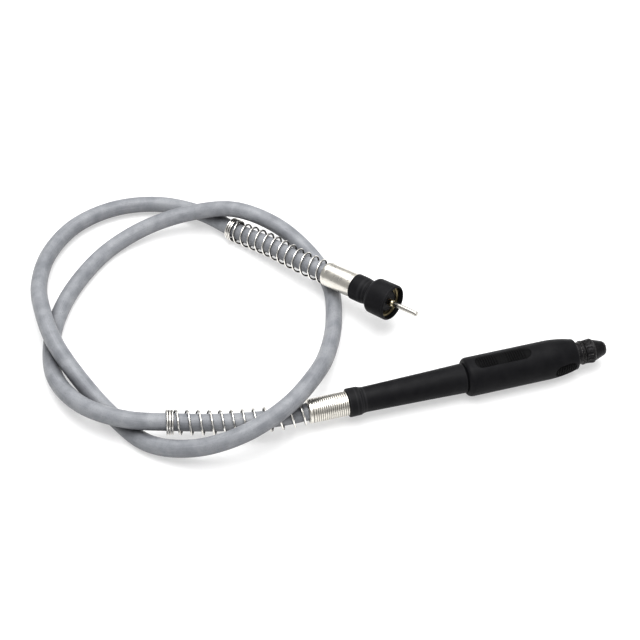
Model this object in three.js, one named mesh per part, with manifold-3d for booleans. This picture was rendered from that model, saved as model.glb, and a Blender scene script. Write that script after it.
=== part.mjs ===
// A rotary tool's flexible shaft: motor coupling, sheathed drive hose and handpiece with a keyless chuck.
// Millimetres, +Z up. The origin is on the table under the middle of the handpiece, which lies along +X with
// its chuck at the +X end. The hose lies on the table in one and a half loops.

import * as THREE from 'three';
import { mergeVertices } from 'three/addons/utils/BufferGeometryUtils.js';
import Module from 'manifold-3d';

const wasm = await Module();
wasm.setup();

// ---------------------------------------------------------------------------------------------- dimensions

const gap = 0.3;                        // clearance between neighbouring pieces

// Drive hose: a plastic sheath over a wound steel liner, with the turning core inside.
const hose = {
  diameter: 10.2,
  sheathWall: 1.3,
  linerWall: 0.9,
  coreDiameter: 3.2,
  insertion: 12,                        // length of sheath held in each ferrule
  linerLead: 8,                         // length of liner beyond each end of the sheath
  coreLead: 12,                         // length of core beyond the liner, at the motor end
};

// Bend springs, one at each end of the hose.
const spring = {
  wire: 1.2,
  clearance: 1.3,                       // between the hose and the coils
  pitch: 6.4,
  closeTurns: 3,                        // touching turns at the end away from the ferrule
  closePitch: 1.5,
  motorLength: 79.6,
  handpieceLength: 80.4,
};

// Ferrules, which hold the ends of the hose.
const ferrule = {
  motorWall: 2.2,
  motorLength: 22.5,
  motorEdge: 1.1,
  handpieceWall: 1.8,
  handpieceLength: 23.5,
  handpieceEdge: 0.6,
  tailDiameter: 11.2,
  tailLength: 8,
  nippleWall: 1.1,
};

// Motor coupling.
const coupling = {
  neckDiameter: 16.5,
  neckLength: 11.8,
  noseLength: 13.8,
  noseClearance: 1.8,                   // between the nose and the thread's crests
  capDiameter: 22.4,
  capLength: 16.5,
  capWall: 1.2,
  capFloor: 3,
  flareLength: 3.5,
  flareWall: 1.7,
  ringThickness: 2,
  ringShoulder: 1.3,                    // step of the cap's bore that the ring lies on
  insertWall: 0.5,
  threadPitch: 2,
  threadTurns: 4,
  threadDepth: 0.8,
};

// Drive pin, which the motor's collet holds.
const pin = {
  diameter: 3.2,
  ballDiameter: 4.6,
  reach: 18,                            // length in front of the cap
  crimpDiameter: 5.2,
  crimpLength: 11,
  bushDiameter: 7.2,
  bushSetback: 1.5,                     // bush behind the front of the neck
  crimpSetback: 2,                      // crimp behind the end of the liner
  ballSetback: 1,                       // ball's middle behind the cap's rim
};

// Handpiece tube.
const tube = {
  collarDiameter: 16.9,
  collarLength: 6.7,
  shoulderLength: 3,
  rearDiameter: 15,
  frontDiameter: 17.7,
  length: 61.5,
  bore: 7,
  spigotLength: 10,
  tipClearance: 1.7,                    // between the core's tip and the front bore
};

// Handpiece grip.
const grip = {
  diameter: 23.3,
  length: 47.3,
  bevelLength: 3.3,
  taperLength: 18.5,
  noseDiameter: 18.6,
  mouthDiameter: 11.6,
  cornerRadius: 0.8,
  lipLength: 6.5,                       // front wall, which the front bearing lies against
  panelDepth: 1.05,
  panelWidth: 9,
  rearPanelLength: 34.8,
  rearPanelSetback: 2.3,
  frontPanelLength: 14.4,
  frontPanelSetback: 2.2,
};

// Spindle bearings.
const bearing = {
  outside: 15,
  bore: 6,
  width: 5,
  raceWall: 1.3,
  grooveDepth: 0.5,
  balls: 7,
};

// Spindle, its spacers, its washer and its drive from the core.
const spindle = {
  flangeDiameter: 9.2,
  flangeLength: 3,
  noseDiameter: 8.4,
  threadDiameter: 5,
  threadLength: 3.3,
  socketLength: 9.5,
  squareWidth: 2,
  tailLength: 16,                       // length behind the rear bearing
  circlipThickness: 0.8,
  circlipDiameter: 8.4,
  washerThickness: 0.4,
  washerWave: 0.6,
  washerSpace: 3,                       // between the tube's spigot and the rear bearing
  spacerWall: 1.2,
};

const tip = { diameter: 5.2, crimpLength: 8.5, squareLength: 7 };

// Chuck.
const chuck = {
  flangeDiameter: 13.6,
  flangeLength: 4.6,
  beadDiameter: 14.6,
  beadWidth: 1.4,
  bodyDiameter: 12.4,
  sleeveLength: 6.2,
  sleeveDiameter: 14.8,
  sleeveFrontDiameter: 13.8,
  ridge: 5,                             // distance of the widest ring from the sleeve's rear
  flutes: 14,
  fluteRadius: 0.9,
  fluteDepth: 0.45,
  noseLength: 7.5,
  noseRound: 1.2,                       // length of the nose's rounded tip
  noseDiameter: 6.4,
  shankBore: 3.5,
};

const jaw = { diameter: 1.9, length: 9.5, angle: 15, travel: 4.8, centre: 1.3, reach: 0.7 };

// The hose's route over the table between the two bend springs' ferrules, from the motor coupling to the
// handpiece. The first two points set the coupling's place and direction; the handpiece sets the last two.
const route = [
  [-53.5, 98.1, 18.2], [-64, 112.5, 16], [-80, 136.6, 12.9], [-97, 160.3, 8.2], [-116, 184, 7.5],
  [-141, 200, 7], [-170, 203.5, 7], [-197, 194, 7], [-217, 172.5, 7.5], [-227, 145, 9.5],
  [-228, 115.5, 15], [-224.5, 86.5, 16.5], [-214.5, 59, 11.5], [-201, 32.5, 6], [-184.5, 6.5, 6],
  [-160.5, -9, 12.5], [-133.5, -13, 20.5], [-106, -4, 25], [-83, 17, 22], [-68, 42, 12],
  [-57, 69, 6.5], [-51, 98, 5.5], [-56, 126, 8], [-72, 150.5, 15.5], [-96, 168, 20],
  [-123, 177, 15.5], [-152, 178, 9.5], [-179, 168, 5.5], [-201, 147, 5.5], [-217, 123, 5.5],
  [-227, 95, 5.5], [-228, 65, 9], [-216, 37, 14], [-194.5, 19, 16], [-166.5, 11.5, 13],
  [-137.5, 5.5, 10.5],
];
const straightExit = 16;                // straight length of hose behind the handpiece's ferrule
const hoseSteps = 66;

// ------------------------------------------------------------------------------------------ derived places

const handpieceLength = ferrule.handpieceLength + tube.collarLength + tube.shoulderLength + tube.length
  + grip.bevelLength + grip.length + grip.taperLength + chuck.flangeLength + chuck.sleeveLength
  + chuck.noseLength + jaw.reach + 6 * gap;
const handpieceStart = new THREE.Vector3(-handpieceLength / 2, 0, grip.diameter / 2);

const routeVectors = route.map(([x, y, z]) => new THREE.Vector3(x, y, z));
const hoseExit = handpieceStart.clone().add(new THREE.Vector3(-straightExit, 0, 0));
routeVectors.push(hoseExit, handpieceStart.clone());
const couplingStart = routeVectors[0].clone();
const couplingDirection = couplingStart.clone().sub(routeVectors[1]).normalize();
const routeCurve = new THREE.CatmullRomCurve3(routeVectors, false, 'centripetal');
routeCurve.arcLengthDivisions = 1200;

const sheathInner = hose.diameter / 2 - hose.sheathWall;
const linerOuter = sheathInner - gap;
const linerInner = linerOuter - hose.linerWall;
const coreRadius = hose.coreDiameter / 2;
const hoseSocket = hose.diameter / 2 + gap;
const coilRadius = hose.diameter / 2 + spring.clearance + spring.wire / 2;
const nippleEnd = hose.insertion + gap + hose.linerLead + gap;

// ------------------------------------------------------------------------------------------------- helpers

// Welds a geometry's vertices, drops triangles without area and turns its faces outwards.
function weld(geometry) {
  const bare = geometry.clone();
  bare.deleteAttribute('normal');
  bare.deleteAttribute('uv');
  const merged = mergeVertices(bare, 1e-4);
  const index = Array.from(merged.index.array);
  const position = merged.attributes.position;
  const triangles = [];
  for (let i = 0; i < index.length; i += 3) {
    const [a, b, c] = index.slice(i, i + 3);
    if (a !== b && b !== c && c !== a) triangles.push([a, b, c]);
  }
  const corner = (k) => new THREE.Vector3().fromBufferAttribute(position, k);
  const volume = triangles.reduce((sum, [a, b, c]) => sum + corner(a).dot(corner(b).cross(corner(c))), 0);
  const outward = volume < 0 ? triangles.map(([a, b, c]) => [a, c, b]) : triangles;
  merged.setIndex(outward.flat());
  return merged;
}

function toManifold(geometry) {
  const welded = weld(geometry);
  return new wasm.Manifold(new wasm.Mesh({
    numProp: 3,
    vertProperties: Float32Array.from(welded.attributes.position.array),
    triVerts: Uint32Array.from(welded.index.array),
  }));
}

function toGeometry(manifold) {
  const { vertProperties, triVerts } = manifold.getMesh();
  const geometry = new THREE.BufferGeometry();
  geometry.setAttribute('position', new THREE.BufferAttribute(vertProperties, 3));
  geometry.setIndex(Array.from(triVerts));
  return geometry;
}

function cut(geometry, tools) {
  const body = toManifold(geometry);
  return toGeometry(tools.reduce((rest, tool) => rest.subtract(toManifold(tool)), body));
}

function join(geometries) {
  return toGeometry(geometries.map(toManifold).reduce((sum, next) => sum.add(next)));
}

// Turns a closed outline of [distance along X, radius] points about the X axis.
function turned(outline, segments) {
  const points = [...outline, outline[0]].map(([x, radius]) => new THREE.Vector2(radius, x));
  return new THREE.LatheGeometry(points, segments).rotateZ(-Math.PI / 2);
}

// A plain tube or, with no bore, a plain rod along X.
function turnedTube(start, end, outerRadius, boreRadius, segments) {
  return turned([
    [start, boreRadius], [start, outerRadius], [end, outerRadius], [end, boreRadius],
  ], segments);
}

// Points along a quarter of an ellipse from one corner to the other, rounding away from the axis.
function quarterRound([x0, r0], [x1, r1], steps) {
  return Array.from({ length: steps + 1 }, (_, i) => {
    const angle = (i / steps) * Math.PI / 2;
    return r1 > r0
      ? [x1 - (x1 - x0) * Math.cos(angle), r0 + (r1 - r0) * Math.sin(angle)]
      : [x0 + (x1 - x0) * Math.sin(angle), r1 + (r0 - r1) * Math.cos(angle)];
  });
}

function polygon(radius, sides) {
  return Array.from({ length: sides }, (_, i) => {
    const angle = (i / sides) * 2 * Math.PI;
    return new THREE.Vector2(radius * Math.cos(angle), radius * Math.sin(angle));
  });
}

// A path through given points with one straight step between neighbours.
class StepPath extends THREE.Curve {
  constructor(points) {
    super();
    this.points = points;
  }

  getPoint(t) {
    const place = t * (this.points.length - 1);
    const i = Math.min(Math.floor(place), this.points.length - 2);
    return this.points[i].clone().lerp(this.points[i + 1], place - i);
  }

  getPointAt(u) {
    return this.getPoint(u);
  }

  getSpacedPoints() {
    return this.points;
  }

  getTangentAt(u) {
    const i = Math.round(u * (this.points.length - 1));
    const here = this.points[i];
    const before = this.points[Math.max(i - 1, 0)];
    const after = this.points[Math.min(i + 1, this.points.length - 1)];
    const arriving = here.clone().sub(before).normalize();
    return after.clone().sub(here).normalize().add(arriving).normalize();
  }
}

function sweep(points, radius, boreRadius, sides) {
  const section = new THREE.Shape(polygon(radius, sides));
  if (boreRadius > 0) section.holes.push(new THREE.Path(polygon(boreRadius, sides)));
  return new THREE.ExtrudeGeometry(section, { steps: points.length - 1, extrudePath: new StepPath(points) });
}

function part(name, geometry, color, roughness, metalness) {
  const material = new THREE.MeshStandardMaterial({ color, roughness, metalness });
  const mesh = new THREE.Mesh(weld(geometry), material);
  mesh.name = name;
  return mesh;
}

const blackPlastic = [0x1b1b1d, 0.5, 0];
const greyPlastic = [0x8e8f9a, 0.5, 0];
const nickel = [0xcfc9bb, 0.25, 1];
const springSteel = [0xc8c6c0, 0.25, 1];
const steel = [0xb4b6ba, 0.3, 1];
const brass = [0xb8955a, 0.35, 1];
const bronze = [0x9a7445, 0.45, 1];
const blackOxide = [0x202124, 0.4, 0.8];

// ---------------------------------------------------------------------------------------------------- hose

// The route's own steps with a straight lead of the given lengths at each end.
function hosePath(motorLead, handpieceLead) {
  const points = routeCurve.getSpacedPoints(hoseSteps);
  const handpieceDirection = new THREE.Vector3(1, 0, 0);
  return [
    couplingStart.clone().addScaledVector(couplingDirection, motorLead),
    ...points,
    handpieceStart.clone().addScaledVector(handpieceDirection, handpieceLead),
  ];
}

function makeHose() {
  const { insertion, linerLead, coreLead } = hose;
  const linerEnd = insertion + linerLead;
  const coreEnd = tipStart() + tip.crimpLength - gap;
  const sheath = sweep(hosePath(insertion, insertion), hose.diameter / 2, sheathInner, 8);
  const liner = sweep(hosePath(linerEnd, linerEnd), linerOuter, linerInner, 8);
  const core = sweep(hosePath(linerEnd + coreLead, coreEnd), coreRadius, 0, 6);
  return [
    part('hose_sheath', sheath, ...greyPlastic),
    part('hose_liner', liner, ...steel),
    part('flexible_core', core, ...steel),
  ];
}

// A right-handed spring wound round the hose, starting with its close turns.
function springPoints(length, distanceAlong) {
  const { pitch, closeTurns, closePitch } = spring;
  const stepsPerTurn = 8;
  const closeLength = closeTurns * closePitch;
  const openTurns = (length - closeLength) / pitch;
  const total = Math.round((closeTurns + openTurns) * stepsPerTurn);
  const up = new THREE.Vector3(0, 0, 1);
  return Array.from({ length: total + 1 }, (_, i) => {
    const turn = i / stepsPerTurn;
    const along = turn < closeTurns ? turn * closePitch : closeLength + (turn - closeTurns) * pitch;
    const { centre, forward } = distanceAlong(Math.min(along, length));
    const side = up.clone().cross(forward).normalize();
    const over = forward.clone().cross(side);
    const angle = turn * 2 * Math.PI;
    return centre.addScaledVector(side, Math.cos(angle) * coilRadius)
      .addScaledVector(over, Math.sin(angle) * coilRadius);
  });
}

function makeSprings() {
  const total = routeCurve.getLength();
  const standOff = spring.wire / 2 + gap;
  const fromMotor = (along) => {
    const u = (standOff + spring.motorLength - along) / total;
    return { centre: routeCurve.getPointAt(u), forward: routeCurve.getTangentAt(u).negate() };
  };
  const fromHandpiece = (along) => {
    const u = (total - standOff - spring.handpieceLength + along) / total;
    return { centre: routeCurve.getPointAt(u), forward: routeCurve.getTangentAt(u) };
  };
  const wire = (points) => sweep(points, spring.wire / 2, 0, 4);
  return [
    part('motor_spring', wire(springPoints(spring.motorLength, fromMotor)), ...springSteel),
    part('handpiece_spring', wire(springPoints(spring.handpieceLength, fromHandpiece)), ...springSteel),
  ];
}

// ------------------------------------------------------------------------------------------- shared pieces

// A ferrule with its mouth at x = 0 and a tail that enters the next housing.
function ferruleGeometry(wall, length, edge) {
  const radius = hoseSocket + wall;
  const passage = pin.crimpDiameter / 2 + gap;
  return turned([
    [0, hoseSocket], ...quarterRound([0, radius - edge], [edge * 1.5, radius], 3),
    [length, radius], [length, ferrule.tailDiameter / 2],
    [length + ferrule.tailLength, ferrule.tailDiameter / 2], [length + ferrule.tailLength, passage],
    [nippleEnd, passage], [nippleEnd, hoseSocket],
  ], 28);
}

// A crimped sleeve that holds the liner's end in its ferrule.
function nippleGeometry() {
  const bore = linerOuter + gap;
  const start = hose.insertion + gap;
  const radius = Math.min(bore + ferrule.nippleWall, hoseSocket - gap);
  return turnedTube(start, start + hose.linerLead, radius, bore, 16);
}

// ---------------------------------------------------------------------------------------------- motor end

function makeCoupling() {
  const group = new THREE.Group();
  group.position.copy(couplingStart);
  const { x, y, z } = couplingDirection;
  group.rotation.set(0, -Math.asin(z), Math.atan2(y, x), 'ZYX');

  const bodyStart = ferrule.motorLength + gap;
  const noseStart = bodyStart + coupling.neckLength;
  const noseEnd = noseStart + coupling.noseLength;
  const capStart = noseStart + gap;
  const capEnd = capStart + coupling.capLength;
  const socketEnd = ferrule.motorLength + ferrule.tailLength + gap;
  const neckRadius = coupling.neckDiameter / 2;
  const capRadius = coupling.capDiameter / 2;
  const seatRadius = capRadius - coupling.capWall;
  const root = seatRadius - gap - coupling.insertWall;
  const crest = root - coupling.threadDepth;
  const noseRadius = crest - coupling.noseClearance;
  const tailSocket = ferrule.tailDiameter / 2 + gap;
  const passage = pin.crimpDiameter / 2 + gap;
  const bushSeat = pin.bushDiameter / 2 + gap;
  const bushStart = noseStart + pin.bushSetback;

  const body = turned([
    [bodyStart, tailSocket], [bodyStart, neckRadius - 0.4], [bodyStart + 0.4, neckRadius],
    [noseStart - 0.8, neckRadius], [noseStart, neckRadius - 0.8], [noseStart, noseRadius],
    [noseEnd - 0.6, noseRadius], [noseEnd, noseRadius - 0.6], [noseEnd, bushSeat],
    [bushStart - gap, bushSeat], [bushStart - gap, passage], [socketEnd, passage],
    [socketEnd, tailSocket],
  ], 28);

  const capFloorEnd = capStart + coupling.capFloor;
  const flareEnd = capStart + coupling.flareLength;
  const flareRadius = noseRadius + gap + coupling.flareWall;
  const ringRadius = seatRadius - coupling.ringShoulder;
  const ringStart = capFloorEnd + gap;
  const seatStart = ringStart + coupling.ringThickness + gap;
  const cap = turned([
    [capStart, noseRadius + gap], [capStart, flareRadius],
    [capStart + coupling.flareLength * 0.45, flareRadius + (capRadius - flareRadius) * 0.2],
    [capStart + coupling.flareLength * 0.85, flareRadius + (capRadius - flareRadius) * 0.73],
    [flareEnd, flareRadius + (capRadius - flareRadius) * 0.92],
    [capEnd - 1.1, capRadius], [capEnd - 0.3, capRadius - 0.3], [capEnd, capRadius - 0.7],
    [capEnd, seatRadius], [seatStart, seatRadius], [seatStart, ringRadius + gap],
    [capFloorEnd, ringRadius + gap], [capFloorEnd, noseRadius + gap],
  ], 32);

  const insertStart = seatStart + gap;
  const threadEnd = insertStart + coupling.threadTurns * coupling.threadPitch;
  const ridges = Array.from({ length: coupling.threadTurns }, (_, i) => {
    const start = threadEnd - i * coupling.threadPitch;
    return [[start, root], [start - coupling.threadPitch * 0.5, crest]];
  }).flat();
  const insert = turned([
    [insertStart, root], [insertStart, seatRadius - gap], [threadEnd, seatRadius - gap], ...ridges,
  ], 24);

  const ring = turnedTube(ringStart, ringStart + coupling.ringThickness, ringRadius, noseRadius + gap, 20);
  const bush = turnedTube(bushStart, noseEnd - gap, pin.bushDiameter / 2, pin.diameter / 2 + gap, 16);

  const pinRadius = pin.diameter / 2;
  const crimpStart = hose.insertion + hose.linerLead + pin.crimpSetback;
  const crimpEnd = crimpStart + pin.crimpLength;
  const ballCentre = capEnd - pin.ballSetback;
  const ballRadius = pin.ballDiameter / 2;
  const ballHalf = Math.sqrt(ballRadius ** 2 - pinRadius ** 2);
  const pinEnd = capEnd + pin.reach;
  const ball = [-0.6, 0, 0.6].map((share) => {
    const along = share * ballRadius;
    return [ballCentre + along, Math.sqrt(ballRadius ** 2 - along ** 2)];
  });
  const drivePin = turned([
    [crimpStart, coreRadius + gap], [crimpStart, pin.crimpDiameter / 2], [crimpEnd, pin.crimpDiameter / 2],
    [crimpEnd, pinRadius], [ballCentre - ballHalf, pinRadius], ...ball, [ballCentre + ballHalf, pinRadius],
    [pinEnd - 0.4, pinRadius], [pinEnd, pinRadius - 0.4], [pinEnd, 0],
    [crimpStart + hose.coreLead - 1.5, 0], [crimpStart + hose.coreLead - 1.5, coreRadius + gap],
  ], 16);

  const motorFerrule = ferruleGeometry(ferrule.motorWall, ferrule.motorLength, ferrule.motorEdge);
  group.add(
    part('motor_ferrule', motorFerrule, ...nickel),
    part('motor_nipple', nippleGeometry(), ...steel),
    part('connector_body', body, ...blackPlastic),
    part('coupling_cap', cap, ...blackPlastic),
    part('thread_insert', insert, ...brass),
    part('cap_retaining_ring', ring, ...steel),
    part('pin_bush', bush, ...bronze),
    part('drive_pin', drivePin, ...steel),
  );
  return group;
}

// ----------------------------------------------------------------------------------------------- handpiece

function tubeStart() {
  return ferrule.handpieceLength + gap;
}

function tubeEnd() {
  return tubeStart() + tube.collarLength + tube.shoulderLength + tube.length;
}

function gripStart() {
  return tubeEnd() + gap;
}

function gripEnd() {
  return gripStart() + grip.bevelLength + grip.length + grip.taperLength;
}

function frontBearingEnd() {
  return gripEnd() - grip.lipLength - gap;
}

function rearBearingStart() {
  return tubeEnd() + tube.spigotLength + spindle.washerSpace;
}

function spindleStart() {
  return rearBearingStart() - spindle.tailLength;
}

function tipStart() {
  return spindleStart() - tip.crimpLength - gap;
}

function makeTube() {
  const start = tubeStart();
  const end = tubeEnd();
  const collarEnd = start + tube.collarLength;
  const collarRadius = tube.collarDiameter / 2;
  const tailSocket = ferrule.tailDiameter / 2 + gap;
  const socketEnd = ferrule.handpieceLength + ferrule.tailLength + gap;
  const spigotRadius = bearing.outside / 2;
  const frontBore = tip.diameter / 2 + gap + tube.tipClearance;
  const frontBoreStart = tipStart() - 2;
  return turned([
    [start, tailSocket], [start, collarRadius - 0.6], [start + 0.6, collarRadius],
    [collarEnd - 0.8, collarRadius], [collarEnd, collarRadius - 0.4],
    [collarEnd + tube.shoulderLength, tube.rearDiameter / 2], [end, tube.frontDiameter / 2],
    [end, spigotRadius], [end + tube.spigotLength, spigotRadius], [end + tube.spigotLength, frontBore],
    [frontBoreStart, frontBore], [frontBoreStart, tube.bore / 2], [socketEnd, tube.bore / 2],
    [socketEnd, tailSocket],
  ], 28);
}

// A ribbed panel's recess, long along X, cut into the grip at an angle round its axis from straight up.
function panelRecess(start, length, radius, angle) {
  const half = grip.panelWidth / 2;
  const outline = new THREE.Shape();
  outline.absarc(length - half, 0, half, -Math.PI / 2, Math.PI / 2, false);
  outline.absarc(half, 0, half, Math.PI / 2, 3 * Math.PI / 2, false);
  const recess = new THREE.ExtrudeGeometry(outline, { depth: 3, bevelEnabled: false, curveSegments: 5 });
  return recess.translate(start, 0, radius - grip.panelDepth).rotateX(angle);
}

function makeGrip() {
  const start = gripStart();
  const end = gripEnd();
  const radius = grip.diameter / 2;
  const barrelStart = start + grip.bevelLength;
  const barrelEnd = barrelStart + grip.length;
  const noseRadius = grip.noseDiameter / 2;
  const bore = bearing.outside / 2 + gap;
  const lip = frontBearingEnd() + gap;
  const taper = [0.25, 0.5, 0.75, 1].map((share) => [
    barrelEnd + share * (grip.taperLength - grip.cornerRadius),
    noseRadius + (radius - noseRadius) * (1 - share ** 2),
  ]);
  const shell = turned([
    [start, bore], ...quarterRound([start, tube.frontDiameter / 2 + 0.6], [barrelStart, radius], 3),
    [barrelEnd, radius], ...taper, [end, noseRadius - grip.cornerRadius], [end, grip.mouthDiameter / 2],
    [lip, grip.mouthDiameter / 2], [lip, bore],
  ], 32);
  const rearPanel = barrelStart + grip.rearPanelSetback;
  const frontPanel = barrelEnd + grip.frontPanelSetback;
  const frontRadius = radius - (radius - noseRadius) * 0.3;
  return cut(shell, [
    panelRecess(rearPanel, grip.rearPanelLength, radius, 0),
    panelRecess(rearPanel, grip.rearPanelLength, radius, Math.PI),
    panelRecess(frontPanel, grip.frontPanelLength, frontRadius, Math.PI / 2),
    panelRecess(frontPanel, grip.frontPanelLength, frontRadius, -Math.PI / 2),
  ]);
}

// The two races and the caged balls of one bearing that starts at the given distance.
function makeBearing(name, start) {
  const { width, raceWall, grooveDepth, balls } = bearing;
  const inner = bearing.bore / 2;
  const outer = bearing.outside / 2;
  const middle = start + width / 2;
  const innerTrack = inner + raceWall;
  const outerTrack = outer - raceWall;
  const pitchRadius = (innerTrack + outerTrack) / 2;
  const ballRadius = (outerTrack - innerTrack) / 2 + grooveDepth - gap;
  const groove = (track, sign) => [-1, -0.6, 0.6, 1].map((share) => {
    const depth = Math.abs(share) === 1 ? 0 : grooveDepth;
    return [middle + share * width * 0.28, track - sign * depth];
  });
  const innerRace = turned([
    [start, inner], [start, innerTrack], ...groove(innerTrack, 1), [start + width, innerTrack],
    [start + width, inner],
  ], 18);
  const outerRace = turned([
    [start, outer], [start, outerTrack], ...groove(outerTrack, -1), [start + width, outerTrack],
    [start + width, outer],
  ], 18);
  const cage = turnedTube(middle - 0.8, middle + 0.8, pitchRadius + 0.3, pitchRadius - 0.3, 14);
  const spheres = Array.from({ length: balls }, (_, i) => {
    const angle = (i / balls) * 2 * Math.PI;
    return new THREE.SphereGeometry(ballRadius, 6, 5)
      .translate(middle, pitchRadius * Math.cos(angle), pitchRadius * Math.sin(angle));
  });
  return [
    part(`${name}_inner_race`, innerRace, ...steel),
    part(`${name}_outer_race`, outerRace, ...steel),
    part(`${name}_ball_cage`, join([cage, ...spheres]), ...steel),
  ];
}

function makeSpindle() {
  const shaft = bearing.bore / 2 - gap;
  const start = spindleStart();
  const flangeStart = frontBearingEnd() + gap;
  const flangeEnd = flangeStart + spindle.flangeLength;
  const noseEnd = gripEnd() + gap;
  const threadRadius = spindle.threadDiameter / 2;
  const turnedShaft = turned([
    [start, 0], [start, shaft - 0.3], [start + 0.3, shaft], [flangeStart, shaft],
    [flangeStart, spindle.flangeDiameter / 2], [flangeEnd, spindle.flangeDiameter / 2],
    [flangeEnd, spindle.noseDiameter / 2], [noseEnd, spindle.noseDiameter / 2], [noseEnd, threadRadius],
    [noseEnd + spindle.threadLength, threadRadius], [noseEnd + spindle.threadLength, 0],
  ], 20);
  const width = spindle.squareWidth + 2 * gap;
  const socket = new THREE.BoxGeometry(spindle.socketLength + 1, width, width)
    .translate(start + (spindle.socketLength - 1) / 2, 0, 0);
  return cut(turnedShaft, [socket]);
}

// The square-ended tip crimped on the core.
function makeTip() {
  const start = tipStart();
  const crimpEnd = start + tip.crimpLength;
  const crimp = turned([
    [start, coreRadius + gap], [start, tip.diameter / 2], [crimpEnd, tip.diameter / 2], [crimpEnd, 0],
    [crimpEnd - gap / 2, 0], [crimpEnd - gap / 2, coreRadius + gap],
  ], 16);
  const width = spindle.squareWidth;
  const length = tip.squareLength + 0.1;
  const square = new THREE.BoxGeometry(length, width, width).translate(crimpEnd - 0.1 + length / 2, 0, 0);
  return join([crimp, square]);
}

function makeWaveWasher() {
  const outer = bearing.outside / 2;
  const middle = (tubeEnd() + tube.spigotLength + rearBearingStart()) / 2;
  const half = spindle.washerThickness / 2;
  const washer = weld(turnedTube(middle - half, middle + half, outer, outer - 1.2, 24));
  const position = washer.attributes.position;
  for (let i = 0; i < position.count; i += 1) {
    const angle = Math.atan2(position.getZ(i), position.getY(i));
    position.setX(i, position.getX(i) + spindle.washerWave * Math.cos(3 * angle));
  }
  return washer;
}

// A jaw's cylinder at a radius, from its front end backwards and outwards, turned to its place.
function jawCylinder(index, radius, length, frontExtra, sides) {
  const slope = THREE.MathUtils.degToRad(jaw.angle);
  const front = handpieceLength - (jaw.diameter / 2) * Math.sin(slope);
  return new THREE.CylinderGeometry(radius, radius, length + frontExtra, sides)
    .rotateZ(-Math.PI / 2)
    .translate(-(length - frontExtra) / 2, 0, 0)
    .rotateY(slope)
    .translate(front, 0, jaw.centre)
    .rotateX((index / 3) * 2 * Math.PI);
}

function makeChuck() {
  const start = gripEnd() + gap;
  const flangeEnd = start + gap + chuck.flangeLength;
  const flangeStart = start + gap;
  const bodyRadius = chuck.bodyDiameter / 2;
  const flangeRadius = chuck.flangeDiameter / 2;
  const beadRadius = chuck.beadDiameter / 2;
  const sleeveStart = flangeEnd + gap;
  const sleeveEnd = sleeveStart + chuck.sleeveLength;
  const noseStart = sleeveEnd + gap;
  const noseEnd = noseStart + chuck.noseLength;
  const tipRadius = chuck.noseDiameter / 2;
  const threadBore = spindle.threadDiameter / 2 + gap;
  const threadEnd = start + spindle.threadLength + gap;
  const core = turned([
    [flangeStart, threadBore], [flangeStart, flangeRadius - 0.5], [flangeStart + 0.5, flangeRadius],
    [flangeEnd - chuck.beadWidth - 0.4, flangeRadius], [flangeEnd - chuck.beadWidth, beadRadius],
    [flangeEnd - 0.3, beadRadius], [flangeEnd, beadRadius - 0.3], [flangeEnd, bodyRadius],
    [noseStart, bodyRadius], [noseEnd - chuck.noseRound, tipRadius + chuck.noseRound * 0.8],
    [noseEnd, tipRadius], [noseEnd, 0], [threadEnd, 0], [threadEnd, threadBore],
  ], 24);
  const boreLength = jaw.length + jaw.travel + 0.5;
  const bores = [0, 1, 2].map((i) => jawCylinder(i, jaw.diameter / 2 + gap, boreLength, 3, 14));
  const shankDepth = chuck.noseLength + chuck.sleeveLength - 1;
  const shankStart = noseEnd - shankDepth;
  const shankBore = turned([
    [shankStart, 0], [shankStart, chuck.shankBore / 2], [noseEnd + 2, chuck.shankBore / 2],
    [noseEnd + 2, 0],
  ], 14);
  const body = cut(core, [...bores, shankBore]);

  const sleeveRadius = chuck.sleeveDiameter / 2;
  const sleeveFront = chuck.sleeveFrontDiameter / 2;
  const blank = turned([
    [sleeveStart, bodyRadius + gap], [sleeveStart, sleeveFront], [sleeveStart + 0.6, sleeveRadius - 0.3],
    [sleeveStart + chuck.ridge, sleeveRadius], [sleeveEnd - 0.6, sleeveFront],
    [sleeveEnd, sleeveFront - 0.4], [sleeveEnd, bodyRadius + gap],
  ], 28);
  const flutes = Array.from({ length: chuck.flutes }, (_, i) => {
    const angle = (i / chuck.flutes) * 2 * Math.PI;
    const centre = sleeveRadius + chuck.fluteRadius - chuck.fluteDepth;
    return new THREE.CylinderGeometry(chuck.fluteRadius, chuck.fluteRadius, chuck.sleeveLength * 2, 8)
      .rotateZ(Math.PI / 2)
      .translate(sleeveStart + chuck.ridge, centre * Math.cos(angle), centre * Math.sin(angle));
  });
  return [
    part('chuck_body', body, ...blackOxide),
    part('chuck_sleeve', cut(blank, flutes), ...blackOxide),
    ...[0, 1, 2].map((i) => {
      const solid = jawCylinder(i, jaw.diameter / 2, jaw.length, 0, 14);
      return part(`jaw_${i + 1}`, solid, ...steel);
    }),
  ];
}

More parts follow.
